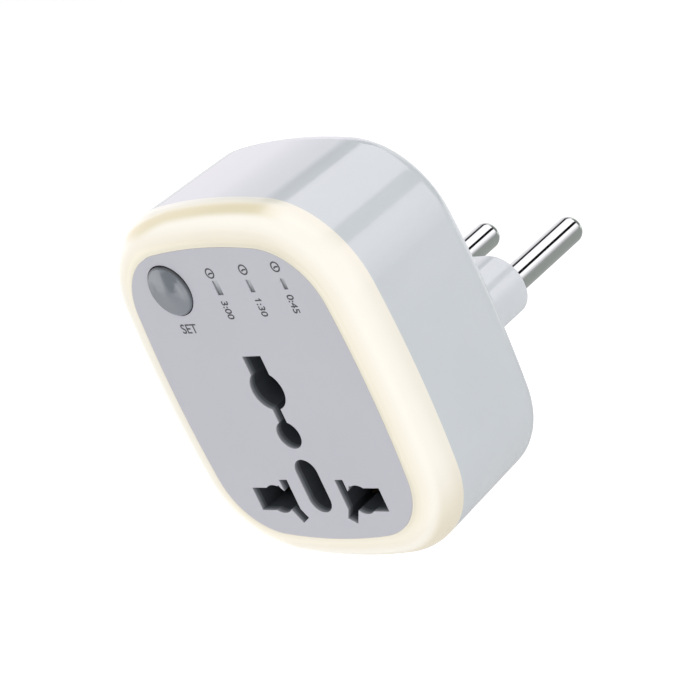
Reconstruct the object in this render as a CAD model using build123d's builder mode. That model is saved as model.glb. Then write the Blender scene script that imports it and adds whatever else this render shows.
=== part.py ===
"""Plug adapter with a countdown timer and a night-light ring, as the pieces it comes apart into.

Millimetres. The origin is midway between the two plug pins, on the end face of the plug boss.
+Y runs out along the pins towards the wall, +Z is up, +X is to the right of someone facing the socket.
Depths are counted from the front face, backwards.
"""

import os
from math import atan2, degrees

from build123d import *

# Socket apertures, as reaches from the middle of the line between live and neutral
slot_reach = 14.52
slot_width = 6.5
slot_height = 4.37
round_aperture = 5.4
upright_slot_middle = 6.39
upright_slot_width = 1.8
upright_slot_rise = 3.72
upright_slot_drop = 2.8
slanted_slot_width = 2.0
slanted_slot_length = 7.2
slanted_slot_tilt = 30.0
slanted_slot_middle = 7.18
slanted_slot_drop = 0.96
earth_slot_width = 4.2
earth_slot_top = 26.83
earth_round_rise = 20.45
earth_round = 7.16
neck_width = 1.86
small_round_rise = 12.13
small_round = 5.07
centre_slot_width = 4.84
centre_slot_length = 10.03
centre_slot_rise = 2.52

# Front outline: a rounded oblong with gently bowed sides, set by margins round the socket and button
side_margin = 7.88
lower_margin = 7.6
control_rise = 12.47
upper_margin = 7.2
face_corner = 11.7
side_bow = 0.65
socket_drop = 10.55

# Face plate
plate_thickness = 1.2
plate_gap = 0.06
peg_diameter = 2.4
peg_length = 3.2
peg_side = 12.4
peg_offset = 4.0
board_peg_diameter = 2.6
board_peg_length = 6.0
board_peg_inset = 4.4
board_peg_rise = 2.8
board_peg_drop = 2.95
stake_diameter = 1.6
stake_head = 0.5

# Light ring
ring_width = 5.5
ring_depth = 5.9
ring_land = 0.3
ring_ledge = 1.0
ring_ledge_thickness = 1.6
ring_leg = 1.4
spigot_length = 1.95
spigot_gap = 0.1

# Housing
wall = 2.4
rim_wall = 1.4
draft_run = 0.85
rear_round = 3.6
boss_margin = 1.0
boss_height = 11.3
boss_depth = 19.6
boss_wall = 1.2
boss_end = 3.0
boss_round = 0.6
fit_gap = 0.1
shaft_gap = 0.05

# Socket core, contacts and cover
core_wall = 1.2
core_edge_gap = 0.3
core_front = 4.6
chamber_depth = 13.2
chamber_half_height = 4.2
chamber_inner = 4.8
column_wall = 2.7
pocket_floor = 1.0
tower_gap = 0.3
tower_side_gap = 1.4
lug_depth = 6.0
lug_half_height = 3.2
contact_strip = 0.8
contact_mouth = 3.0
contact_neck = 1.7
contact_back = 2.5
contact_tail = 1.8
contact_side_gap = 0.3
cover_thickness = 1.5

# Straps, and the stack of boards behind the core
strap_space = 1.5
strap_thickness = 0.6
strap_width = 3.6
strap_apart = 0.9
switched_strap_width = 2.2
board_thickness = 1.6
board_stand = 2.0
board_edge_gap = 0.9
board_low_gap = 0.8
stand_diameter = 4.6
stand_inset = 1.8
stand_rise = 2.1
top_stand_rise = 15.4

# Plug pins and their retainer
pin_spacing = 19.0
pin_diameter = 4.8
pin_length = 19.0
pin_tip_round = 1.9
neck_diameter = 4.2
pin_relief = 0.18
pin_relief_depth = 0.6
tail_diameter = 3.0
rivet_diameter = 4.2
rivet_height = 0.6
retainer_flange = 1.0
retainer_flange_reach = 1.2

# Screws
post_diameter = 7.0
post_apart = 0.3
screw_rise = 6.0
screw_shank = 2.0
screw_hole = 2.6
screw_head = 4.6
screw_head_height = 1.7
screw_well = 5.2
screw_well_depth = 3.0
screw_length = 11.0
screw_drive = 1.7
screw_drive_depth = 0.8
board_screw_shank = 1.5
board_screw_head = 3.4
board_screw_head_height = 1.4

# Button and its switch
button_side = 11.28
button_hole = 9.3
button_gap = 0.18
button_proud = 0.45
button_dome = 0.7
button_edge_round = 0.4
button_flange_reach = 0.45
button_flange_thickness = 0.8
button_flange_gap = 0.05
button_stem = 3.0
button_travel = 0.5
switch_width = 6.0
switch_height = 3.2
switch_corner = 0.75
plunger_diameter = 3.4
plunger_proud = 1.0
plunger_inside = 1.0
plunger_gap = 0.08

# Indicator windows, longest run time first
window_first = -0.15
window_pitch = 7.5
window_sizes = {"long": (1.3, 2.6), "medium": (1.05, 2.25), "short": (0.9, 1.95)}
window_recess = 0.25
window_flange = 0.5
window_flange_thickness = 0.8
window_length = 3.6
window_gap = 0.04
led_length = 2.0
led_width = 1.25
led_height = 0.8

# Night-light board
ring_led_count = 16
ring_led_gap = 0.22
lamp_inner = 0.3

# Electronic pieces: width, height and depth, and the place of each from the boards' lower edge
relay_size = (15.5, 10.0, 11.0)
relay_place = (-10.2, 8.95)
film_size = (8.6, 5.5, 10.0)
film_place = (2.9, 4.3)
smoothing_diameter = 8.0
smoothing_length = 11.0
smoothing_place = (3.0, 11.8)
bridge_size = (4.6, 4.4, 2.5)
bridge_place = (9.8, 10.8)
fuse_diameter = 2.4
fuse_length = 6.3
fuse_lead = 0.6
fuse_place = (17.0, 9.3)
chip_size = (8.6, 3.9, 1.5)
chip_place = (6.0, 3.0)
header_size = (2.5, 8.0, 2.5)
header_place = (14.0, 8.2)
header_pins = 3
header_pin = 0.64
case_round = 0.6

# Levels that follow from the sizes above
socket_line = -socket_drop
column_high = socket_line + earth_slot_top + column_wall
control_line = socket_line + earth_slot_top + control_rise
face_low = socket_line - lower_margin
face_high = control_line + upper_margin
face_middle = (face_low + face_high) / 2
face_width = 2 * (slot_reach + side_margin)
face_height = face_high - face_low
board_low = column_high + board_low_gap
chamber_front = plate_thickness + core_front
chamber_back = chamber_front + chamber_depth
cover_back = chamber_back + cover_thickness
strap_front = cover_back + strap_space
board_front = strap_front + strap_thickness
board_back = board_front + board_thickness
cavity_back = board_back + board_stand
body_depth = cavity_back + wall
plug_depth = body_depth + boss_depth
tower_back = cavity_back - retainer_flange - tower_gap
spigot_end = ring_depth + spigot_length
lamp_back = spigot_end + board_thickness
control_front = plate_thickness + board_peg_length
control_back = control_front + board_thickness
ring_inner_wall = ring_width - wall
spigot_edge = ring_width - rim_wall - spigot_gap
cavity_edge = ring_width - draft_run - wall
core_half = slot_reach + core_wall
core_low = socket_line - chamber_half_height - core_wall
core_high = socket_line + chamber_half_height + core_wall
column_half = earth_round / 2 + column_wall
contact_reach = slot_reach + contact_side_gap
contact_middle = (chamber_inner + contact_reach) / 2
contact_width = contact_reach - chamber_inner - contact_side_gap
pin_side = pin_spacing / 2
tower_half = pin_side - strap_width / 2 - tower_side_gap
boss_length = pin_spacing + pin_diameter + 2 * boss_margin
switched_strap_middle = pin_side + strap_width / 2 + strap_apart + switched_strap_width / 2
screw_side = switched_strap_middle + switched_strap_width / 2 + post_apart + post_diameter / 2
screw_line = socket_line + screw_rise
well_floor = body_depth - screw_well_depth
strap_top = board_low + strap_width
button_radius = button_hole / 2 - button_gap
flange_front = plate_thickness + button_flange_gap
flange_back = flange_front + button_flange_thickness
switch_front = control_front - switch_height
plunger_front = switch_front - plunger_proud
button_place = (-button_side, control_line)


def at_depth(depth):
    """Plane parallel to the face, with X to the right and Z up, that looks out through the face."""
    return Plane.XZ.offset(plug_depth - depth)


def on_boards(place):
    """Place given from the boards' lower edge, in the part's own frame."""
    x, rise = place
    return x, board_low + rise


def outline(grow):
    """The front outline moved outwards by grow: eight arcs, each tangent to the next."""
    half_width = face_width / 2 + grow
    half_height = face_height / 2 + grow
    corner = face_corner + grow
    corner_x = half_width - corner - side_bow
    corner_z = half_height - corner - side_bow
    reach = (corner + side_bow) ** 2 - corner**2
    side_radius = (corner_z**2 + reach) / (2 * side_bow)
    end_radius = (corner_x**2 + reach) / (2 * side_bow)
    side_angle = degrees(atan2(corner_z, corner_x - half_width + side_radius))
    end_angle = degrees(atan2(corner_x, corner_z - half_height + end_radius))
    corner_angle = 90 - side_angle - end_angle
    side_x = half_width - side_radius
    end_z = half_height - end_radius
    arcs = [
        (side_x, 0, side_radius, -side_angle, 2 * side_angle),
        (corner_x, corner_z, corner, side_angle, corner_angle),
        (0, end_z, end_radius, 90 - end_angle, 2 * end_angle),
        (-corner_x, corner_z, corner, 90 + end_angle, corner_angle),
        (-side_x, 0, side_radius, 180 - side_angle, 2 * side_angle),
        (-corner_x, -corner_z, corner, 180 + side_angle, corner_angle),
        (0, -end_z, end_radius, 270 - end_angle, 2 * end_angle),
        (corner_x, -corner_z, corner, 270 + end_angle, corner_angle),
    ]
    with BuildSketch() as sketch:
        with BuildLine():
            for x, z, radius, start, size in arcs:
                CenterArc((x, z + face_middle), radius, start, size)
        make_face()
    return sketch.sketch


def line_aperture(side):
    """Live or neutral aperture: flat, round, upright and slanted pins all enter here."""
    upright_middle = socket_line + (upright_slot_rise - upright_slot_drop) / 2
    with BuildSketch() as sketch:
        with Locations((side * (slot_reach - slot_width / 2), socket_line)):
            Rectangle(slot_width, slot_height)
        with Locations((side * pin_side, socket_line)):
            Circle(round_aperture / 2)
        with Locations((side * upright_slot_middle, upright_middle)):
            Rectangle(upright_slot_width, upright_slot_rise + upright_slot_drop)
        with Locations((side * slanted_slot_middle, socket_line - slanted_slot_drop)):
            Rectangle(slanted_slot_width, slanted_slot_length, rotation=-side * slanted_slot_tilt)
    return sketch.sketch


def earth_aperture():
    """Earth aperture: an upright oblong run into a large round, a narrow neck and a small round."""
    with BuildSketch() as sketch:
        with Locations((0, socket_line + earth_round_rise)):
            Circle(earth_round / 2)
            Rectangle(
                earth_slot_width, earth_slot_top - earth_round_rise, align=(Align.CENTER, Align.MIN)
            )
        with Locations((0, socket_line + small_round_rise)):
            Circle(small_round / 2)
            Rectangle(neck_width, earth_round_rise - small_round_rise, align=(Align.CENTER, Align.MIN))
    return sketch.sketch


def centre_aperture():
    """Upright slot between live and neutral, with round ends."""
    with BuildSketch() as sketch:
        with Locations((0, socket_line + centre_slot_rise)):
            SlotOverall(centre_slot_length, centre_slot_width, rotation=90)
    return sketch.sketch


def core_block():
    """Lower part of the core, kept inside the ring's ledge."""
    with BuildSketch() as sketch:
        with Locations((0, core_low)):
            Rectangle(2 * core_half, core_high - core_low, align=(Align.CENTER, Align.MIN))
        add(outline(-ring_ledge - core_edge_gap), mode=Mode.INTERSECT)
    return sketch.sketch


def core_shape():
    """The lower part of the core with the earth column above it."""
    with BuildSketch() as sketch:
        add(core_block())
        with Locations((0, core_low)):
            Rectangle(2 * column_half, column_high - core_low, align=(Align.CENTER, Align.MIN))
    return sketch.sketch


def board_shape(grow):
    """A board that fills the outline above the boards' lower edge."""
    with BuildSketch() as sketch:
        add(outline(grow))
        with Locations((0, board_low)):
            Rectangle(2 * face_width, face_height, align=(Align.CENTER, Align.MIN), mode=Mode.INTERSECT)
    return sketch.sketch


def windows():
    """Name, place, width and height of each indicator window."""
    for number, (name, (width, height)) in enumerate(window_sizes.items()):
        yield name, (window_first + number * window_pitch, control_line), width, height


def keep(piece, name):
    """Labels a finished piece and writes its file."""
    piece.part.label = name
    export_step(piece.part, f"parts/{name}.step")


os.makedirs("parts", exist_ok=True)
board_peg_side = face_width / 2 - board_peg_inset
core_pegs = [(side * peg_side, socket_line + end * peg_offset) for side in (-1, 1) for end in (-1, 1)]
board_pegs = [(side * board_peg_side, board_low + board_peg_rise) for side in (-1, 1)]
board_pegs += [(window_first + end * window_pitch / 2, face_high - board_peg_drop) for end in (-1, 1)]
screw_places = [(-screw_side, screw_line), (screw_side, screw_line)]
stand_places = [on_boards((side * (face_width / 2 - stand_inset), stand_rise)) for side in (-1, 1)]
pin_places = [(-pin_side, 0), (pin_side, 0)]

# Rear housing: a drafted cup with a rebated rim, the plug boss, two screw posts and three board stands
with BuildPart() as rear_housing:
    with BuildSketch(at_depth(ring_depth)):
        add(outline(ring_width))
    with BuildSketch(at_depth(body_depth)):
        add(outline(ring_width - draft_run))
    loft(ruled=True)
    fillet(rear_housing.edges().group_by(Axis.Y)[-1], rear_round)
    with BuildSketch(at_depth(plug_depth)):
        SlotOverall(boss_length, boss_height)
    extrude(amount=boss_depth + wall / 2)
    fillet(rear_housing.edges().group_by(Axis.Y)[-1], boss_round)
    with BuildSketch(at_depth(ring_depth)):
        add(outline(ring_inner_wall))
    with BuildSketch(at_depth(cavity_back)):
        add(outline(cavity_edge))
    loft(ruled=True, mode=Mode.SUBTRACT)
    with BuildSketch(at_depth(lamp_back)):
        add(outline(ring_width - rim_wall))
    extrude(amount=lamp_back - ring_depth, mode=Mode.SUBTRACT)
    with BuildSketch(at_depth(plug_depth - boss_end)):
        SlotOverall(boss_length - 2 * boss_wall, boss_height - 2 * boss_wall)
    extrude(amount=boss_depth - boss_end + wall, mode=Mode.SUBTRACT)
    with BuildSketch(at_depth(plug_depth)):
        with Locations(*pin_places):
            Circle(neck_diameter / 2 + shaft_gap)
    extrude(amount=boss_end, mode=Mode.SUBTRACT)
    with BuildSketch(at_depth(plug_depth)):
        with Locations(*pin_places):
            Circle(pin_diameter / 2 + pin_relief)
    extrude(amount=pin_relief_depth, mode=Mode.SUBTRACT)
    with BuildSketch(at_depth(cavity_back + wall / 2)):
        with Locations(*screw_places):
            Circle(post_diameter / 2)
    extrude(amount=cavity_back + wall / 2 - chamber_back)
    with BuildSketch(at_depth(cavity_back + wall / 2)):
        with Locations(*stand_places, on_boards((0, top_stand_rise))):
            Circle(stand_diameter / 2)
    extrude(amount=board_stand + wall / 2)
    with BuildSketch(at_depth(body_depth)):
        with Locations(*screw_places):
            Circle(screw_well / 2)
    extrude(amount=screw_well_depth, mode=Mode.SUBTRACT)
    with BuildSketch(at_depth(body_depth)):
        with Locations(*screw_places):
            Circle(screw_hole / 2)
    extrude(amount=body_depth - chamber_back, mode=Mode.SUBTRACT)
    with BuildSketch(at_depth(cavity_back)):
        with Locations(*stand_places):
            Circle(board_screw_shank / 2 + shaft_gap)
    extrude(amount=board_stand, mode=Mode.SUBTRACT)
keep(rear_housing, "rear_housing")

# Light ring: a hollow translucent moulding, rounded in front, with a ledge for the plate and a rear spigot
with BuildPart() as light_ring:
    channel_depth = spigot_end - plate_thickness - ring_ledge_thickness
    with BuildSketch(at_depth(ring_depth)):
        add(outline(ring_width))
    extrude(amount=ring_depth)
    fillet(light_ring.edges().group_by(Axis.Y)[0], ring_width - ring_land)
    with BuildSketch(at_depth(spigot_end)):
        add(outline(spigot_edge))
    extrude(amount=spigot_length)
    with BuildSketch(at_depth(plate_thickness)):
        add(outline(0))
    extrude(amount=plate_thickness, mode=Mode.SUBTRACT)
    with BuildSketch(at_depth(spigot_end)):
        add(outline(-ring_ledge))
    extrude(amount=spigot_end, mode=Mode.SUBTRACT)
    with BuildSketch(at_depth(spigot_end)):
        add(outline(0))
    extrude(amount=channel_depth, mode=Mode.SUBTRACT)
    with BuildSketch(at_depth(spigot_end)):
        add(outline(ring_inner_wall))
        add(outline(ring_leg), mode=Mode.SUBTRACT)
    extrude(amount=channel_depth, mode=Mode.SUBTRACT)
keep(light_ring, "light_ring")

# Face plate: lies on the ring's ledge, with short pegs for the core and long ones for the control board
with BuildPart() as face_plate:
    with BuildSketch(at_depth(plate_thickness)):
        add(outline(-plate_gap))
        for side in (-1, 1):
            add(line_aperture(side), mode=Mode.SUBTRACT)
        add(earth_aperture(), mode=Mode.SUBTRACT)
        add(centre_aperture(), mode=Mode.SUBTRACT)
        with Locations(button_place):
            Circle(button_hole / 2, mode=Mode.SUBTRACT)
        for name, place, width, height in windows():
            with Locations(place):
                Rectangle(width, height, mode=Mode.SUBTRACT)
    extrude(amount=plate_thickness)
    with BuildSketch(at_depth(plate_thickness + peg_length)):
        with Locations(*core_pegs):
            Circle(peg_diameter / 2)
    extrude(amount=peg_length)
    with BuildSketch(at_depth(control_front)):
        with Locations(*board_pegs):
            Circle(board_peg_diameter / 2)
    extrude(amount=board_peg_length)
    with BuildSketch(at_depth(control_back + stake_head)):
        with Locations(*board_pegs):
            Circle(stake_diameter / 2)
    extrude(amount=board_thickness + stake_head)
keep(face_plate, "face_plate")

# Aperture block: the dark moulding behind the plate that carries on the plate's openings, set on its pegs
with BuildPart() as aperture_block:
    with BuildSketch(at_depth(chamber_front)):
        add(core_shape())
        for side in (-1, 1):
            add(line_aperture(side), mode=Mode.SUBTRACT)
        add(earth_aperture(), mode=Mode.SUBTRACT)
        add(centre_aperture(), mode=Mode.SUBTRACT)
    extrude(amount=core_front)
    with BuildSketch(at_depth(plate_thickness + peg_length + fit_gap)):
        with Locations(*core_pegs):
            Circle(peg_diameter / 2 + shaft_gap)
    extrude(amount=peg_length + fit_gap, mode=Mode.SUBTRACT)
keep(aperture_block, "aperture_block")

# Socket core: welded behind the aperture block, with contact chambers, deep earth pockets and screw lugs
with BuildPart() as socket_core:
    with BuildSketch(at_depth(chamber_back)):
        add(core_shape())
    extrude(amount=chamber_depth)
    with BuildSketch(at_depth(tower_back)):
        with Locations((0, core_high)):
            Rectangle(2 * tower_half, column_high - core_high, align=(Align.CENTER, Align.MIN))
    extrude(amount=tower_back - chamber_back)
    with BuildSketch(at_depth(chamber_back)):
        with Locations(*screw_places):
            Circle(lug_half_height)
        with Locations((0, screw_line)):
            Rectangle(2 * screw_side, 2 * lug_half_height)
    extrude(amount=lug_depth)
    with BuildSketch(at_depth(chamber_back)):
        for side in (-1, 1):
            with Locations((side * contact_middle, socket_line)):
                Rectangle(contact_reach - chamber_inner, 2 * chamber_half_height)
    extrude(amount=chamber_depth, mode=Mode.SUBTRACT)
    with BuildSketch(at_depth(chamber_back - pocket_floor)):
        add(centre_aperture())
    extrude(amount=chamber_depth - pocket_floor, mode=Mode.SUBTRACT)
    with BuildSketch(at_depth(tower_back - pocket_floor)):
        add(earth_aperture())
    extrude(amount=tower_back - pocket_floor - chamber_front, mode=Mode.SUBTRACT)
    with BuildSketch(at_depth(chamber_back)):
        with Locations(*screw_places):
            Circle(screw_shank / 2 + shaft_gap)
    extrude(amount=lug_depth - pocket_floor, mode=Mode.SUBTRACT)
keep(socket_core, "socket_core")

# Contact cover: a flat lid over both contact chambers, with a hole for each contact's tail
with BuildPart() as contact_cover:
    with BuildSketch(at_depth(cover_back)):
        add(core_block())
        with Locations(*screw_places):
            Circle(post_diameter / 2 + fit_gap, mode=Mode.SUBTRACT)
        for side in (-1, 1):
            with Locations((side * pin_side, socket_line)):
                Circle(contact_tail / 2 + shaft_gap, mode=Mode.SUBTRACT)
    extrude(amount=cover_thickness)
keep(contact_cover, "contact_cover")


def contact(side):
    """Sprung strip bent to a U round the pin, with flared lips, a waist and a riveted tail."""
    lip = chamber_front + contact_strip
    waist = chamber_front + chamber_depth / 4
    heel = chamber_back - chamber_depth / 3
    web = chamber_back - contact_strip / 2
    bends = [(lip, contact_mouth), (waist, contact_neck), (heel, contact_back), (web, contact_back)]
    upper = [(depth - plug_depth, socket_line + rise) for depth, rise in bends]
    lower = [(depth - plug_depth, socket_line - rise) for depth, rise in reversed(bends)]
    with BuildPart() as piece:
        with BuildSketch(Plane.YZ.offset(side * contact_middle)):
            with BuildLine():
                FilletPolyline(*upper, *lower, radius=contact_strip)
            trace(line_width=contact_strip)
        extrude(amount=contact_width / 2, both=True)
        with BuildSketch(at_depth(board_front)):
            with Locations((side * pin_side, socket_line)):
                Circle(contact_tail / 2)
        extrude(amount=board_front - chamber_back + contact_strip / 2)
    return piece


keep(contact(1), "live_contact")
keep(contact(-1), "neutral_contact")


def plug_pin(place):
    """Turned pin with a neck in the boss, a shoulder on the retainer and a tail riveted to its strap."""
    head = rivet_diameter / 2
    tail = tail_diameter / 2
    neck = neck_diameter / 2
    bare = pin_diameter / 2
    seat = strap_front - plug_depth
    with BuildPart() as turned:
        with BuildSketch(Plane.XY):
            with BuildLine():
                Polyline(
                    (0, seat - rivet_height), (head, seat - rivet_height), (head, seat), (tail, seat),
                    (tail, -boss_end), (neck, -boss_end), (neck, 0), (bare, 0),
                    (bare, pin_length), (0, pin_length), close=True,
                )
            make_face()
        revolve(axis=Axis.Y)
        fillet(turned.edges().group_by(Axis.Y)[-1], pin_tip_round)
    with BuildPart() as piece:
        with Locations((place, 0, 0)):
            add(turned.part)
    return piece


keep(plug_pin(pin_side), "live_pin")
keep(plug_pin(-pin_side), "neutral_pin")

# Pin retainer: an oblong block pushed into the boss up to the pins' necks, flanged on the rear wall
with BuildPart() as pin_retainer:
    inner_length = boss_length - 2 * boss_wall
    inner_height = boss_height - 2 * boss_wall
    block_depth = boss_depth + wall - boss_end
    with BuildSketch(at_depth(plug_depth - boss_end)):
        SlotOverall(inner_length - 2 * fit_gap, inner_height - 2 * fit_gap)
    extrude(amount=block_depth)
    with BuildSketch(at_depth(cavity_back)):
        SlotOverall(inner_length + 2 * retainer_flange_reach, inner_height + 2 * retainer_flange_reach)
    extrude(amount=retainer_flange)
    with BuildSketch(at_depth(plug_depth - boss_end)):
        with Locations(*pin_places):
            Circle(tail_diameter / 2 + shaft_gap)
    extrude(amount=block_depth + retainer_flange, mode=Mode.SUBTRACT)
keep(pin_retainer, "pin_retainer")


def strap(middle, low, holes):
    """Flat brass strap up to the power board, with a hole for each tail that is riveted into it."""
    with BuildPart() as piece:
        with BuildSketch(at_depth(board_front)):
            with Locations((middle, low)):
                Rectangle(strap_width, strap_top - low, align=(Align.CENTER, Align.MIN))
            for x, z, diameter in holes:
                with Locations((x, z)):
                    Circle(diameter / 2 + shaft_gap, mode=Mode.SUBTRACT)
        extrude(amount=strap_thickness)
    return piece


neutral_tails = [(-pin_side, 0, tail_diameter), (-pin_side, socket_line, contact_tail)]
keep(strap(pin_side, -strap_width, [(pin_side, 0, tail_diameter)]), "live_strap")
keep(strap(-pin_side, socket_line - strap_width / 2, neutral_tails), "neutral_strap")

# Switched strap: runs down past the live pin from the relay's output to a foot on the live contact's tail
with BuildPart() as switched_strap:
    foot_inner = pin_side - strap_width / 2
    foot_outer = switched_strap_middle + switched_strap_width / 2
    strap_run = strap_top - socket_line + strap_width / 2
    with BuildSketch(at_depth(board_front)):
        with Locations((switched_strap_middle, strap_top)):
            Rectangle(switched_strap_width, strap_run, align=(Align.CENTER, Align.MAX))
        with Locations(((foot_inner + foot_outer) / 2, socket_line)):
            Rectangle(foot_outer - foot_inner, strap_width)
        with Locations((pin_side, socket_line)):
            Circle(contact_tail / 2 + shaft_gap, mode=Mode.SUBTRACT)
    extrude(amount=strap_thickness)
keep(switched_strap, "switched_strap")

# Button: a domed cap with a soft edge, on a short stem, held behind the plate by a flange cut to the ring
with BuildPart() as button_cap:
    edge = -plug_depth - button_proud
    crown = edge - button_dome
    foot = plunger_front - plug_depth
    back = flange_back - plug_depth
    dome_radius = (button_radius**2 + button_dome**2) / (2 * button_dome)
    with BuildSketch(Plane.XY):
        with BuildLine():
            Line((0, crown), (0, foot))
            Polyline((0, foot), (button_stem / 2, foot), (button_stem / 2, back), (button_radius, back))
            Line((button_radius, back), (button_radius, edge))
            RadiusArc((0, crown), (button_radius, edge), dome_radius)
        make_face()
    revolve(axis=Axis.Y)
    rims = button_cap.edges().filter_by(lambda rim: rim.is_closed)
    fillet(rims.sort_by(Axis.Y)[0], button_edge_round)
with BuildPart() as set_button:
    with Locations((-button_side, 0, control_line)):
        add(button_cap.part)
    with BuildSketch(at_depth(flange_back)):
        with Locations(button_place):
            Circle(button_hole / 2 + button_flange_reach)
        add(outline(-ring_ledge - core_edge_gap), mode=Mode.INTERSECT)
    extrude(amount=button_flange_thickness)
keep(set_button, "set_button")

# Switch plunger: the moving stud of the push switch
with BuildPart() as switch_plunger:
    with BuildSketch(at_depth(switch_front + plunger_inside)):
        with Locations(button_place):
            Circle(plunger_diameter / 2)
    extrude(amount=plunger_proud + plunger_inside)
keep(switch_plunger, "switch_plunger")

# Push switch: a square can on the control board, with a round well for the plunger
with BuildPart() as tact_switch:
    well_depth = plunger_inside + button_travel + fit_gap
    with BuildSketch(at_depth(control_front)) as can:
        with Locations(button_place):
            Rectangle(switch_width, switch_width)
        chamfer(can.vertices(), switch_corner)
    extrude(amount=switch_height)
    with BuildSketch(at_depth(switch_front + well_depth)):
        with Locations(button_place):
            Circle(plunger_diameter / 2 + plunger_gap)
    extrude(amount=well_depth, mode=Mode.SUBTRACT)
keep(tact_switch, "tact_switch")

# Indicator windows: smoky light pipes, each with a flange behind the plate
for name, place, width, height in windows():
    with BuildPart() as window:
        with BuildSketch(at_depth(plate_thickness + window_length)):
            with Locations(place):
                Rectangle(width - 2 * window_gap, height - 2 * window_gap)
        extrude(amount=plate_thickness + window_length - window_recess)
        with BuildSketch(at_depth(plate_thickness + window_flange_thickness)):
            with Locations(place):
                Rectangle(width + 2 * window_flange, height + 2 * window_flange)
        extrude(amount=window_flange_thickness)
    keep(window, f"indicator_window_{name}")

# Indicator diodes, one behind each window
with BuildPart() as indicator_leds:
    with BuildSketch(at_depth(control_front)):
        for name, place, width, height in windows():
            with Locations(place):
                Rectangle(led_width, led_length)
    extrude(amount=led_height)
keep(indicator_leds, "indicator_leds")

# Control board: follows the top of the face, staked to the plate's long pegs
with BuildPart() as control_board:
    with BuildSketch(at_depth(control_back)):
        add(board_shape(-ring_ledge - lamp_inner))
        with Locations(*board_pegs):
            Circle(stake_diameter / 2 + shaft_gap, mode=Mode.SUBTRACT)
    extrude(amount=board_thickness)
keep(control_board, "control_board")

# Power board: follows the housing's inside, screwed to two of its three stands
with BuildPart() as power_board:
    with BuildSketch(at_depth(board_back)):
        add(board_shape(cavity_edge - board_edge_gap))
        with Locations(*stand_places):
            Circle(board_screw_shank / 2 + shaft_gap, mode=Mode.SUBTRACT)
    extrude(amount=board_thickness)
keep(power_board, "power_board")

# Night-light board: a frame trapped between the ring's spigot and the housing's rebate
with BuildPart() as lamp_board:
    with BuildSketch(at_depth(lamp_back)):
        add(outline(spigot_edge))
        add(outline(-lamp_inner), mode=Mode.SUBTRACT)
    extrude(amount=board_thickness)
keep(lamp_board, "lamp_board")

# Night-light diodes, evenly spaced round the frame inside the ring's channel
with BuildPart() as ring_leds:
    path = outline((ring_inner_wall + ring_leg) / 2).wire()
    with BuildSketch(at_depth(spigot_end)):
        for number in range(ring_led_count):
            share = number / ring_led_count
            spot = path.position_at(share)
            run = path.tangent_at(share)
            with Locations(Location((spot.X, spot.Y, 0), (0, 0, degrees(atan2(run.Y, run.X))))):
                Rectangle(led_length, ring_inner_wall - ring_leg - 2 * ring_led_gap)
    extrude(amount=led_height)
keep(ring_leds, "ring_leds")


def block_on_board(size, place):
    """Moulded block on the front of the power board, with softened edges."""
    width, height, depth = size
    with BuildPart() as piece:
        with BuildSketch(at_depth(board_front)):
            with Locations(on_boards(place)):
                RectangleRounded(width, height, case_round)
        extrude(amount=depth)
        fillet(piece.edges().group_by(Axis.Y)[0], case_round / 2)
    return piece


keep(block_on_board(relay_size, relay_place), "relay")
keep(block_on_board(film_size, film_place), "film_capacitor")
keep(block_on_board(bridge_size, bridge_place), "bridge_rectifier")

# Smoothing capacitor: a can with a crimped groove near its base
with BuildPart() as smoothing_capacitor:
    groove = smoothing_diameter / 16
    with BuildSketch(at_depth(board_front)):
        with Locations(on_boards(smoothing_place)):
            Circle(smoothing_diameter / 2)
    extrude(amount=smoothing_length)
    fillet(smoothing_capacitor.edges().group_by(Axis.Y)[0], groove)
    with BuildSketch(at_depth(board_front - 3 * groove)):
        with Locations(on_boards(smoothing_place)):
            Circle(smoothing_diameter / 2)
            Circle(smoothing_diameter / 2 - groove, mode=Mode.SUBTRACT)
    extrude(amount=2 * groove, mode=Mode.SUBTRACT)
keep(smoothing_capacitor, "smoothing_capacitor")

# Fusible resistor: a barrel lying upright on the board, with a wire leg bent down to it at each end
with BuildPart() as fuse_resistor:
    fuse_x, fuse_z = on_boards(fuse_place)
    barrel_y = board_front - plug_depth - fuse_diameter / 2
    leg_run = fuse_length / 2 + 2 * fuse_lead
    with BuildSketch(Plane.XY.offset(fuse_z - fuse_length / 2)):
        with Locations((fuse_x, barrel_y)):
            Circle(fuse_diameter / 2)
    extrude(amount=fuse_length)
    fillet(fuse_resistor.edges().filter_by(GeomType.CIRCLE), fuse_lead)
    with BuildSketch(Plane.XY.offset(fuse_z - leg_run)):
        with Locations((fuse_x, barrel_y)):
            Circle(fuse_lead / 2)
    extrude(amount=2 * leg_run)
    with BuildSketch(at_depth(board_front)):
        with Locations((fuse_x, fuse_z)):
            with GridLocations(1, 2 * leg_run - fuse_lead, 1, 2):
                Circle(fuse_lead / 2)
    extrude(amount=fuse_diameter / 2)
keep(fuse_resistor, "fuse_resistor")

# Controller chip on the back of the control board
with BuildPart() as controller_chip:
    chip_width, chip_height, chip_depth = chip_size
    with BuildSketch(at_depth(control_back + chip_depth)):
        with Locations(on_boards(chip_place)):
            Rectangle(chip_width, chip_height)
    extrude(amount=chip_depth)
    chamfer(controller_chip.edges().group_by(Axis.Y)[-1], chip_depth / 6)
keep(controller_chip, "controller_chip")

# Board header: square pins in an insulating strip, from one board to the other
with BuildPart() as board_header:
    header_width, header_height, header_depth = header_size
    with BuildSketch(at_depth(control_back + header_depth)):
        with Locations(on_boards(header_place)):
            Rectangle(header_width, header_height)
    extrude(amount=header_depth)
    with BuildSketch(at_depth(board_front)):
        with Locations(on_boards(header_place)):
            with GridLocations(1, header_height / header_pins, 1, header_pins):
                Rectangle(header_pin, header_pin)
    extrude(amount=board_front - control_back)
keep(board_header, "board_header")

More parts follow.
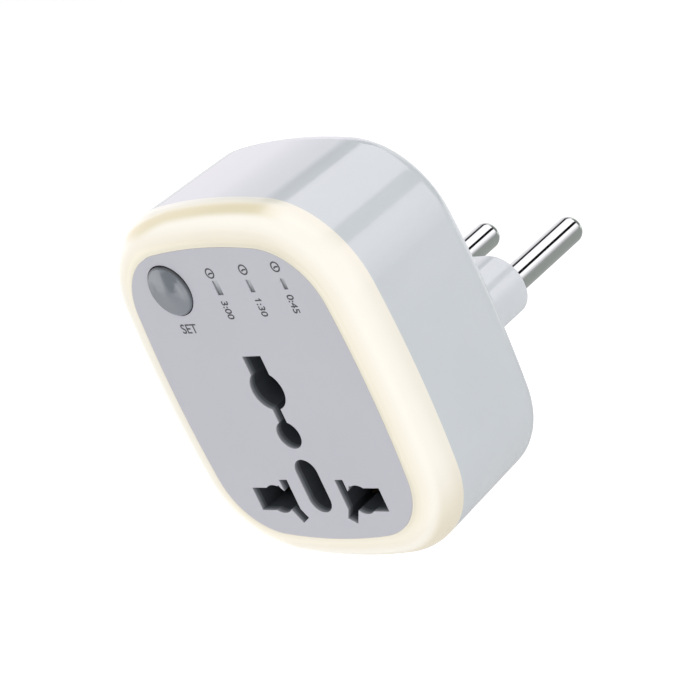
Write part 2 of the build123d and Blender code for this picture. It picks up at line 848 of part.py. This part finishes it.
# Housing screws: driven forwards from the wells in the housing's back into the core's lugs
with BuildPart() as housing_screws:
    with BuildSketch(at_depth(well_floor + screw_head_height)):
        with Locations(*screw_places):
            Circle(screw_head / 2)
    extrude(amount=screw_head_height)
    fillet(housing_screws.edges().group_by(Axis.Y)[-1], screw_head_height / 3)
    with BuildSketch(at_depth(well_floor)):
        with Locations(*screw_places):
            Circle(screw_shank / 2)
    extrude(amount=screw_length)
    with BuildSketch(at_depth(well_floor + screw_head_height)):
        with Locations(*screw_places):
            RegularPolygon(screw_drive / 2, 6)
    extrude(amount=screw_drive_depth, mode=Mode.SUBTRACT)
keep(housing_screws, "housing_screws")

# Board screws: driven backwards through the power board into two of the stands
with BuildPart() as board_screws:
    with BuildSketch(at_depth(board_front)):
        with Locations(*stand_places):
            Circle(board_screw_head / 2)
    extrude(amount=board_screw_head_height)
    fillet(board_screws.edges().group_by(Axis.Y)[0], board_screw_head_height / 3)
    with BuildSketch(at_depth(cavity_back - fit_gap)):
        with Locations(*stand_places):
            Circle(board_screw_shank / 2)
    extrude(amount=board_thickness + board_stand - fit_gap)
keep(board_screws, "board_screws")
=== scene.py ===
"""Plug adapter with a countdown timer and a night-light ring, dressed for its photograph."""

import math

import bpy
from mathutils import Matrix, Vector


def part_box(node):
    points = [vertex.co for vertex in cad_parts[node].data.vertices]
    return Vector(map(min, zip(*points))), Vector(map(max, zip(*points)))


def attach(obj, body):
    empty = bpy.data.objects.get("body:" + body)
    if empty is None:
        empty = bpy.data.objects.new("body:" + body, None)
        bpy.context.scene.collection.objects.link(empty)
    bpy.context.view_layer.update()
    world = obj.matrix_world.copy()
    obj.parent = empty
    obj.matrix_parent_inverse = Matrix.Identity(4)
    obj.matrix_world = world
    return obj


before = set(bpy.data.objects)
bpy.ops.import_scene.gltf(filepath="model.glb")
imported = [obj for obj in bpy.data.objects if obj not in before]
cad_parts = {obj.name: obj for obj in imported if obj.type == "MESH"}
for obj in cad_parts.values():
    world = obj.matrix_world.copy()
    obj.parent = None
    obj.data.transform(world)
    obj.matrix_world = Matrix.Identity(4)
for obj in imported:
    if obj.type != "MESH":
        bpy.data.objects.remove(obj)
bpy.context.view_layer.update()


# Rear housing: one glossy white moulding, a drafted cup with the plug boss on its back.
# The ring, the core and the boards are all fixed into it, so it is the root of the object.
class Value:
    """One output of a shader node, worked with like a number."""

    def __init__(self, tree, socket=None):
        self.tree = tree
        self.socket = socket

    def node(self, kind, inputs, out=0, **settings):
        """Adds a node to the same tree, sets or links its inputs, and returns one of its outputs."""
        made = self.tree.nodes.new("ShaderNode" + kind)
        for name, setting in settings.items():
            setattr(made, name, setting)
        for name, given in inputs.items():
            if isinstance(given, Value):
                self.tree.links.new(given.socket, made.inputs[name])
            else:
                made.inputs[name].default_value = given
        return Value(self.tree, made.outputs[out])

    def maths(self, operation, first, second):
        """A Math node on two values or numbers."""
        return self.node("Math", {0: first, 1: second}, operation=operation)

    def __add__(self, other):
        return self.maths("ADD", self, other)

    def __sub__(self, other):
        return self.maths("SUBTRACT", self, other)

    def __rsub__(self, other):
        return self.maths("SUBTRACT", other, self)

    def __mul__(self, other):
        return self.maths("MULTIPLY", self, other)

    def __truediv__(self, other):
        return self.maths("DIVIDE", self, other)

    def __rtruediv__(self, other):
        return self.maths("DIVIDE", other, self)

    __radd__ = __add__
    __rmul__ = __mul__

    def ramp(self, low, high):
        """0 below low, 1 above high, smooth in between."""
        limits = {"Value": self, "From Min": low, "From Max": high}
        return self.node("MapRange", limits, interpolation_type="SMOOTHSTEP")

    def mix(self, first, second):
        """The first colour where this value is 0, and the second where it is 1."""
        colours = {0: self}
        for socket, tone in ((6, first), (7, second)):
            colours[socket] = tone if isinstance(tone, Value) else (*tone, 1.0)
        return self.node("Mix", colours, out=2, data_type="RGBA")


class Material:
    """One material: a Principled shader, and the places on the surface that feed it."""

    def __init__(self, name):
        self.material = bpy.data.materials.new(name)
        self.material.use_nodes = True
        self.tree = self.material.node_tree
        self.shader = self.tree.nodes["Principled BSDF"]
        self.place = Value(self.tree).node("TexCoord", {}, out="Object")

    def axis(self, number):
        """The place along X, Y or Z, in metres."""
        return self.place.node("SeparateXYZ", {0: self.place}, out=number)

    def noise(self, scale):
        """Cloudy values about 0.5, finer as the scale grows."""
        return self.place.node("TexNoise", {"Vector": self.place, "Scale": scale, "Detail": 3.0})

    def feed(self, **sockets):
        """Sets or links sockets of the shader, named with underscores for spaces."""
        for name, given in sockets.items():
            socket = self.shader.inputs[name.replace("_", " ")]
            if isinstance(given, Value):
                self.tree.links.new(given.socket, socket)
            else:
                socket.default_value = given

    def worn(self, scale, low, high):
        """Lets the roughness drift between two values in patches, and returns the patches."""
        patches = self.noise(scale).ramp(0.3, 0.7)
        self.feed(Roughness=patches * (high - low) + low)
        return patches

    def grain(self, scale, strength):
        """A fine bump, 0.1 mm high at full strength."""
        inputs = {"Height": self.noise(scale), "Strength": strength, "Distance": 0.0001}
        self.feed(Normal=self.place.node("Bump", inputs))


def finish(name, dark, light, roughness, scale=300.0, **constants):
    """A material that drifts between two near tones, with a roughness that drifts with it."""
    made = Material(name)
    made.feed(Base_Color=made.worn(scale, *roughness).mix(dark, light), **constants)
    return made


def dress(made, *names):
    """Puts a material on CAD nodes."""
    for name in names:
        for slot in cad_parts[name].material_slots:
            slot.material = made.material


boss_start = -0.0195
boss_blend = 0.0005
white_case = Material("white_case")
case_patches = white_case.worn(60.0, 0.10, 0.14)
case_tone = case_patches.mix((0.62, 0.655, 0.685), (0.635, 0.67, 0.70))
# The plug boss is painted lighter than the rest of the case: painted light on the same plastic.
boss_painted_light_tone = case_patches.mix((0.70, 0.73, 0.76), (0.715, 0.745, 0.775))
boss = white_case.axis(1).ramp(boss_start - boss_blend, boss_start + boss_blend)
white_case.feed(IOR=1.6, Base_Color=boss.mix(case_tone, boss_painted_light_tone))
white_case.grain(900.0, 0.02)
dress(white_case, "rear_housing")

# Plug pins: turned brass with polished nickel plate, their tails riveted to the straps inside.
# The retainer is a plain moulding pushed into the boss up to the pins' shoulders.
nickel = finish(
    "nickel", (0.52, 0.565, 0.535), (0.54, 0.585, 0.555), (0.04, 0.06), scale=500.0, Metallic=1.0
)
dress(nickel, "live_pin", "neutral_pin")
natural = finish("natural_plastic", (0.70, 0.69, 0.63), (0.78, 0.77, 0.71), (0.4, 0.5))
dress(natural, "pin_retainer")

# Straps and socket contacts: stamped brass strip, riveted to the tails of the pins and contacts.
# The straps lie on the power board, which is screwed to the housing's stands.
# The contacts, deep in the socket's core, have gone dull.
brass = finish(
    "brass_strip", (0.38, 0.28, 0.125), (0.50, 0.38, 0.18), (0.35, 0.5), scale=700.0, Metallic=1.0
)
dress(brass, "live_strap", "neutral_strap", "switched_strap")
dull_brass = finish(
    "dull_brass", (0.17, 0.125, 0.06), (0.24, 0.18, 0.09), (0.35, 0.5), scale=700.0, Metallic=1.0
)
dress(dull_brass, "live_contact", "neutral_contact")

# Screws and the push switch's case: plated steel. The long screws draw the core to the housing from
# behind, the short ones hold the power board, and the switch is soldered to the control board.
steel = finish(
    "screw_steel", (0.50, 0.50, 0.50), (0.60, 0.60, 0.60), (0.25, 0.4), scale=800.0, Metallic=1.0
)
dress(steel, "housing_screws", "board_screws", "tact_switch")

# Boards and what is soldered to them: glass-cloth laminate under solder mask, and moulded parts.
# The control board is staked to the plate, and the lamp board is trapped behind the ring.
green = finish("green_board", (0.03, 0.17, 0.08), (0.06, 0.25, 0.13), (0.3, 0.45), scale=900.0)
dress(green, "control_board", "power_board")
white_board = finish("white_board", (0.78, 0.78, 0.75), (0.86, 0.86, 0.83), (0.3, 0.45), scale=900.0)
dress(white_board, "lamp_board")
diode = finish("diode", (0.90, 0.78, 0.35), (0.95, 0.86, 0.50), (0.2, 0.3), scale=900.0)
dress(diode, "ring_leds", "indicator_leds")
black_part = finish("black_part", (0.02, 0.02, 0.022), (0.04, 0.04, 0.042), (0.45, 0.6), scale=900.0)
dress(black_part, "bridge_rectifier", "controller_chip", "board_header", "switch_plunger")
relay_case = finish("relay_case", (0.04, 0.11, 0.36), (0.06, 0.16, 0.45), (0.3, 0.4))
dress(relay_case, "relay")
film_case = finish("film_case", (0.62, 0.38, 0.08), (0.75, 0.50, 0.14), (0.4, 0.5))
dress(film_case, "film_capacitor")
can_sleeve = finish("can_sleeve", (0.10, 0.11, 0.14), (0.14, 0.15, 0.19), (0.3, 0.4))
dress(can_sleeve, "smoothing_capacitor")
resistor = finish("resistor_body", (0.34, 0.52, 0.58), (0.44, 0.62, 0.68), (0.35, 0.45), scale=900.0)
dress(resistor, "fuse_resistor")

# Socket: a dull charcoal aperture block on the plate's pegs, with the core welded behind it.
# The core is screwed to the housing, and a flat cover closes its contact chambers from behind.
charcoal = Material("charcoal_core")
charcoal.worn(900.0, 0.45, 0.6)
block_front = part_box("aperture_block")[0][1]
# Further in, the block and the core are painted darker: painted shade deep in the apertures.
deep_painted_shade = charcoal.axis(1).ramp(block_front + 0.0015, block_front + 0.006)
charcoal.feed(Base_Color=deep_painted_shade.mix((0.05, 0.056, 0.066), (0.008, 0.009, 0.011)))
dress(charcoal, "aperture_block", "socket_core", "contact_cover")

# Light ring: a hollow milky moulding lit from behind, held between the plate and the housing's rim.
# The glow of its lamps is even along its crown and falls off towards both of its edges, with painted
# light mixed in.
# The whiter crown is partly glow and partly a painted highlight. The dark lines along the lip and the
# seam by the plate, the darker rear of the top and the darker bottom and left edges are painted shade,
# and the tan band on the top is a painted reflection of a dark band. Depths are in millimetres behind
# its front, and each place has a share and a tone, of glow and of painted light.
ring = finish("cream_diffuser", (0.415, 0.395, 0.325), (0.425, 0.405, 0.335), (0.16, 0.20), scale=80.0)
ring_start, ring_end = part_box("light_ring")
ring_low = ring_start[2]
ring_high = ring_end[2]
depth = (ring.axis(1) - ring_start[1]) * 1000.0
along = ring.axis(0)
height = ring.axis(2)
shaded = height.ramp(ring_low + 0.005, ring_low + 0.012) * along.ramp(-0.0224, -0.016) * 0.7 + 0.3
lip_painted_shade = shaded * (0.7 - depth.ramp(0.0, 0.25) * 0.7)
seam_painted_shadow = shaded * (1.0 - depth.ramp(0.0, 0.04))
crown_glow_and_highlight = depth.ramp(0.0, 1.4) * (1.0 - depth.ramp(2.4, 5.4))
left_corner = 1.0 - along.ramp(-0.015, -0.006)
band = depth + left_corner * 0.9 - along.ramp(-0.008, 0.012) * 0.5
crest = height.ramp(ring_high - 0.0055, ring_high - 0.0025) * (1.0 - along.ramp(0.012, 0.019))
top = crest * band.ramp(1.2, 2.4) * (1.0 - band.ramp(3.0, 4.2) * (left_corner * 0.2 + 0.6))
low = (1.0 - height.ramp(ring_low + 0.004, ring_low + 0.020)) * depth.ramp(0.6, 2.2)
left = 1.0 - along.ramp(-0.0245, -0.0205)
glow_and_painted_light = depth.ramp(2.0, 4.0).mix((0.47, 0.435, 0.385), (0.48, 0.455, 0.425))
# Painted shade at the lip and the seam, a painted highlight on the crown, a painted reflection on the
# top, and painted shade at the rear of the top, along the bottom and along the left edge.
for share, tone in (
    (lip_painted_shade, (0.40, 0.36, 0.28)),
    (seam_painted_shadow, (0.34, 0.31, 0.25)),
    (crown_glow_and_highlight, (0.535, 0.52, 0.505)),
    (top, (0.375, 0.325, 0.20)),
    (crest * band.ramp(3.6, 4.6) * 0.8, (0.36, 0.37, 0.35)),
    (crest * depth.ramp(4.7, 5.5) * 0.7, (0.28, 0.29, 0.29)),
    (low * 0.8, (0.30, 0.25, 0.16)),
    (left * 0.6, (0.36, 0.36, 0.35)),
):
    glow_and_painted_light = share.mix(glow_and_painted_light, tone)
ring.feed(Emission_Color=glow_and_painted_light, Emission_Strength=1.0)
dress(ring, "light_ring")

# Face plate: a thin satin grey moulding, flush with the ring and resting on its ledge.
# Pegs behind it locate the core and carry the control board.
# The walls of its apertures are painted darker than its face, and darkest at their inner end: painted
# shade in the openings.
grey_plate = Material("grey_plate")
plate_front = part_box("face_plate")[0][1]
plate_tone = grey_plate.worn(60.0, 0.42, 0.5).mix((0.473, 0.473, 0.52), (0.488, 0.488, 0.535))
aperture_wall_shade = grey_plate.axis(1).ramp(plate_front + 0.0001, plate_front + 0.0003)
inner_wall_shade = grey_plate.axis(1).ramp(plate_front + 0.0003, plate_front + 0.0009)
aperture_wall_shade_tone = inner_wall_shade.mix((0.30, 0.315, 0.345), (0.12, 0.13, 0.145))
grey_plate.feed(Base_Color=aperture_wall_shade.mix(plate_tone, aperture_wall_shade_tone))
grey_plate.grain(9000.0, 0.03)
dress(grey_plate, "face_plate")

# Set button: a polished grey cap with a shallow dome, sprung by the push switch behind it.
# Its skirt slides in the plate's round hole, and the upper part of its rim is painted dark there:
# painted shade in the gap.
dome_curve = 38.0
shade_low = 0.0255
shade_high = 0.031
button_low, button_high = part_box("set_button")
button_front = button_low[1]
button_grey = Material("grey_button")
cap_tone = button_grey.worn(200.0, 0.09, 0.12).mix((0.152, 0.170, 0.196), (0.162, 0.180, 0.206))
rim = button_grey.axis(1).ramp(button_front + 0.00067, button_front + 0.00085)
upper_rim_shade = button_grey.axis(2).ramp(shade_low, shade_high)
button_grey.feed(Base_Color=(rim * upper_rim_shade).mix(cap_tone, (0.04, 0.045, 0.05)))
button_grey.feed(Coat_Weight=0.4, Coat_Roughness=0.06)
across, up = (button_grey.axis(i) - (button_low[i] + button_high[i]) / 2 for i in (0, 2))
dome = across.node("CombineXYZ", {0: across * dome_curve, 1: -1.0, 2: up * dome_curve})
dome = dome.node("VectorMath", {0: dome}, operation="NORMALIZE")
own = dome.node("TexCoord", {}, out="Normal")
face = 1.0 - button_grey.axis(1).ramp(button_front + 0.00063, button_front + 0.00075)
polish = face.node("Mix", {0: face, 4: own, 5: dome}, out=1, data_type="VECTOR")
turned = {"vector_type": "NORMAL", "convert_from": "OBJECT", "convert_to": "WORLD"}
button_grey.feed(Normal=polish.node("VectorTransform", {0: polish}, **turned))
dress(button_grey, "set_button")

# Indicator windows: three smoky light pipes, flanged behind the plate, a little below its face.
# Each carries the light of a diode on the control board, and is painted lighter at its top and darker
# towards its lower end: painted light and shade in its recess.
smoke = Material("smoke_window")
smoke.worn(600.0, 0.2, 0.3)
window_low, window_high = (corner[2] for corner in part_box("indicator_window_long"))
window_painted_light = smoke.axis(2).ramp(window_low, window_high)
smoke.feed(Base_Color=window_painted_light.mix((0.135, 0.145, 0.155), (0.50, 0.52, 0.54)))
dress(smoke, "indicator_window_long", "indicator_window_medium", "indicator_window_short")

# Printed marks: dark lettering and clock signs, printed on the plate with a thin film of ink.
# The run times and their clocks are turned to read downwards, and the button's word stands upright.
ink_height = 0.00002
ink_spread = 0.00005
ink_flattening = 0.3
merge_distance = 1e-7
word_size = 0.0024
time_size = 0.0020
clock_sides = 40
clock_radius = 0.00095
clock_inside = 0.73
hand_width = 0.00026
hands = ((0.00062, 90.0), (0.0005, -60.0))
middle = (0.0, 0.0, 0.0)
ink = finish("dark_ink", (0.042, 0.044, 0.048), (0.050, 0.052, 0.056), (0.5, 0.6), scale=900.0)


def print_on_plate(piece, name, place, turned):
    """Stands a flat mesh up in front of the plate, and prints it there."""
    piece.name = name
    piece.location = (place[0], plate_front, place[1])
    piece.rotation_euler = (math.radians(90.0), math.radians(90.0 if turned else 0.0), 0.0)
    bpy.ops.object.transform_apply(location=True, rotation=True, scale=True)
    piece.data.materials.append(ink.material)
    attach(piece, "housing")


def flag(piece, size):
    """Adds the flag at the top of a digit 1, where a time starts with one."""
    length = 0.3 * size
    thickness = 0.1 * size
    slope = math.radians(-35.0)
    points = [point.co for point in piece.data.vertices]
    stem_end = min(point.x for point in points) + 0.2 * size
    stem = [point for point in points if point.x < stem_end]
    top_right = (max(point.x for point in stem), max(point.y for point in stem) - thickness / 2, 0.0)
    bpy.ops.object.mode_set(mode="EDIT")
    bpy.ops.mesh.select_all(action="DESELECT")
    bpy.ops.mesh.primitive_cube_add(size=1.0)
    bpy.ops.transform.resize(value=(length, thickness, 2 * ink_height))
    bpy.ops.transform.translate(value=(-length / 2, 0.0, 0.0))
    bpy.ops.transform.rotate(value=slope, orient_axis="Z", center_override=middle)
    bpy.ops.transform.translate(value=top_right)
    bpy.ops.object.mode_set(mode="OBJECT")


def word(body, name, size, place, turned):
    """One printed word or time, centred on a place, with strokes that spread as ink does."""
    bpy.ops.object.select_all(action="DESELECT")
    bpy.ops.object.text_add()
    text = bpy.context.object.data
    text.body = body
    text.size = size
    text.align_x = "CENTER"
    text.align_y = "CENTER"
    text.extrude = ink_height
    bpy.ops.object.convert(target="MESH")
    piece = bpy.context.object
    bpy.ops.object.mode_set(mode="EDIT")
    bpy.ops.mesh.select_all(action="SELECT")
    bpy.ops.mesh.remove_doubles(threshold=merge_distance)
    bpy.ops.mesh.normals_make_consistent(inside=False)
    bpy.ops.transform.shrink_fatten(value=ink_spread)
    bpy.ops.transform.resize(value=(1.0, 1.0, ink_flattening))
    bpy.ops.object.mode_set(mode="OBJECT")
    if body.startswith("1"):
        flag(piece, size)
    print_on_plate(piece, name, place, turned)


def clock(name, place):
    """A clock sign: a thin circle with two hands."""
    bpy.ops.object.select_all(action="DESELECT")
    bpy.ops.mesh.primitive_circle_add(vertices=clock_sides, radius=clock_radius)
    bpy.ops.object.mode_set(mode="EDIT")
    bpy.ops.mesh.extrude_edges_move()
    bpy.ops.transform.resize(value=(clock_inside, clock_inside, clock_inside))
    bpy.ops.mesh.select_all(action="SELECT")
    bpy.ops.mesh.extrude_region_move(TRANSFORM_OT_translate={"value": (0.0, 0.0, ink_height)})
    for length, angle in hands:
        bpy.ops.mesh.select_all(action="DESELECT")
        bpy.ops.mesh.primitive_cube_add(size=1.0, location=(0.0, 0.0, ink_height / 2))
        bpy.ops.transform.resize(value=(length, hand_width, ink_height))
        bpy.ops.transform.translate(value=(length / 2, 0.0, 0.0))
        bpy.ops.transform.rotate(value=math.radians(-angle), orient_axis="Z", center_override=middle)
    bpy.ops.mesh.select_all(action="SELECT")
    bpy.ops.mesh.normals_make_consistent(inside=False)
    bpy.ops.object.mode_set(mode="OBJECT")
    print_on_plate(bpy.context.object, name, place, True)


word("SET", "mark_set", word_size, (-0.0112, 0.02162), False)
word("3:00", "mark_long", time_size, (-0.00031, 0.02475), True)
word("1:30", "mark_medium", time_size, (0.00748, 0.02495), True)
word("0:45", "mark_short", time_size, (0.01477, 0.02517), True)
clock("clock_long", (-0.00041, 0.03139))
clock("clock_medium", (0.00737, 0.03167))
clock("clock_short", (0.01467, 0.03181))

# Floor, light and camera: a pale floor far below, soft panels of light and the photograph's lens.
# The panels light the object and aren't seen. The cards and boards are seen only in reflections,
# and the dark ones among them give the dark bands on the housing and the pins.
floor_size = 8.0
floor_level = -0.32
bpy.ops.object.select_all(action="DESELECT")
bpy.ops.mesh.primitive_plane_add(size=floor_size, location=(0.0, 0.0, floor_level))
floor = bpy.context.object
floor.name = "floor"


def shown(tree):
    """1 for rays from the camera or a reflection, and 0 for those that light the object."""
    start = Value(tree)
    direct = start.node("LightPath", {}, out="Is Camera Ray")
    mirrored = start.node("LightPath", {}, out="Is Glossy Ray")
    return start.maths("MAXIMUM", direct, mirrored)


pale = finish("pale_floor", (0.94, 0.94, 0.94), (0.96, 0.96, 0.96), (0.8, 0.9), scale=4.0)
floor_glow = shown(pale.tree).mix((0.1, 0.1, 0.1), (0.34, 0.34, 0.34))
pale.feed(Emission_Color=floor_glow, Emission_Strength=1.0)
floor.data.materials.append(pale.material)

world = bpy.data.worlds.new("studio")
bpy.context.scene.world = world
world.use_nodes = True
sky = world.node_tree.nodes["Background"]
sky_tone = shown(world.node_tree).mix((0.62, 0.62, 0.62), (1.0, 1.0, 1.0))
world.node_tree.links.new(sky_tone.socket, sky.inputs["Color"])
sky.inputs["Strength"].default_value = 1.0


def panel(name, place, turn, across, along, radiance):
    """A panel of soft light, which isn't seen itself."""
    bpy.ops.object.light_add(
        type="AREA", location=place, rotation=[math.radians(angle) for angle in turn]
    )
    light = bpy.context.object
    light.name = name
    light.data.shape = "RECTANGLE"
    light.data.size = across
    light.data.size_y = along
    light.data.energy = radiance * math.pi * across * along
    light.visible_camera = False
    light.visible_glossy = False


def hang(name, width, length, turn, place, made):
    """A board seen only in reflections, which gives no light and no shadow."""
    bpy.ops.object.select_all(action="DESELECT")
    bpy.ops.mesh.primitive_plane_add(size=1.0)
    piece = bpy.context.object
    piece.name = name
    piece.scale = (width, length, 1.0)
    piece.rotation_euler = turn
    piece.location = place
    bpy.ops.object.transform_apply(location=True, rotation=True, scale=True)
    made.feed(Base_Color=(0.0, 0.0, 0.0, 1.0), Specular_IOR_Level=0.0, Emission_Strength=1.0)
    piece.data.materials.append(made.material)
    piece.visible_camera = False
    piece.visible_diffuse = False
    piece.visible_shadow = False


white = (1.0, 1.0, 1.0)
lilac = (1.0, 0.92, 1.0)
near = (-0.2, 0.6)
whole = (-0.25, 2.0)
rear = (0.8, 2.0)
button_place = (-0.0104, -0.0487, 0.029)


def card(name, start, end, reach, first, last, away=1.2, tint=lilac):
    """A long card between two angles round the object, from one tone to another."""
    front, back = reach
    turn = math.radians((start + end) / 2)
    width = 2 * away * math.tan(math.radians((end - start) / 2))
    made = Material(name)
    slant = {0: made.place, 1: (math.sin(turn), 0.0, -math.cos(turn))}
    across = made.place.node("VectorMath", slant, out="Value", operation="DOT_PRODUCT")
    tones = [[level * part for part in tint] for level in (first, last)]
    made.feed(Emission_Color=(0.5 - across / width).mix(*tones))
    place = (away * math.cos(turn), (front + back) / 2, away * math.sin(turn))
    hang(name, width, back - front, (0.0, math.radians(90.0) - turn, 0.0), place, made)


def even_grey(name, low, high):
    """The material of a plain board, which drifts a little between two levels of grey."""
    made = Material(name)
    made.feed(Emission_Color=made.noise(8.0).mix((low, low, low), (high, high, high)))
    return made


def glint(name, azimuth, height, wide, tall, away, tone):
    """A small board that faces the button, between angles seen from it."""
    around = math.radians(azimuth)
    polar = math.radians(90.0 - height)
    outward = math.sin(polar)
    way = (outward * math.cos(around), outward * math.sin(around), math.cos(polar))
    place = [start + away * part for start, part in zip(button_place, way)]
    size = [2 * away * math.tan(math.radians(angle / 2)) for angle in (tall, wide)]
    hang(name, *size, (0.0, polar, around), place, even_grey(name, tone * 0.95, tone * 1.05))


panel("overhead", (0.085, 0.6, 0.9), (0.0, 0.0, 0.0), 1.13, 1.5, 0.52)
panel("upper_right", (0.9, 0.2, 0.75), (0.0, 50.0, 0.0), 0.8, 1.5, 0.72)
panel("front", (0.3, -1.4, 0.5), (90.0, 0.0, 0.0), 1.6, 1.2, 1.25)
card("low_card", -140.0, -62.0, near, 0.55, 0.5, away=0.25, tint=white)
card("low_right_card", -62.0, -15.0, near, 0.5, 0.5, away=0.25, tint=white)
card("right_fade", -15.0, 12.0, near, 0.5, 1.8, away=0.3)
card("right_card", 10.0, 33.0, whole, 1.8, 1.95)
card("right_gap", 33.0, 54.0, rear, 0.02, 0.02)
card("top_card", 54.0, 116.0, whole, 2.0, 1.8)
card("left_gap", 116.0, 136.0, whole, 0.02, 0.02)
card("left_fade", 136.0, 158.0, whole, 0.75, 1.4)
card("left_card", 158.0, 178.0, whole, 1.5, 1.2)
upright = (math.radians(90.0), 0.0, 0.0)
hang("end_card", 1.5, 2.4, upright, (0.5, 2.0, 0.0), even_grey("end_card", 0.28, 0.32))
glint("button_glint_left", -145.8, -10.0, 12.0, 16.0, 0.6, 2.1)
glint("button_glint_right", -126.0, -19.3, 11.0, 11.0, 0.6, 2.5)
glint("button_shade", -128.0, 0.75, 26.0, 38.5, 0.66, 0.25)

camera_place = (0.374748, -0.344248, 0.19063)
camera_turn = [math.radians(angle) for angle in (67.3733, 23.2655, 40.614)]
bpy.ops.object.camera_add(location=camera_place, rotation=camera_turn)
camera = bpy.context.object
camera.data.sensor_width = 36.0
camera.data.lens = 167.58
bpy.context.scene.camera = camera
bpy.context.scene.view_settings.view_transform = "Standard"
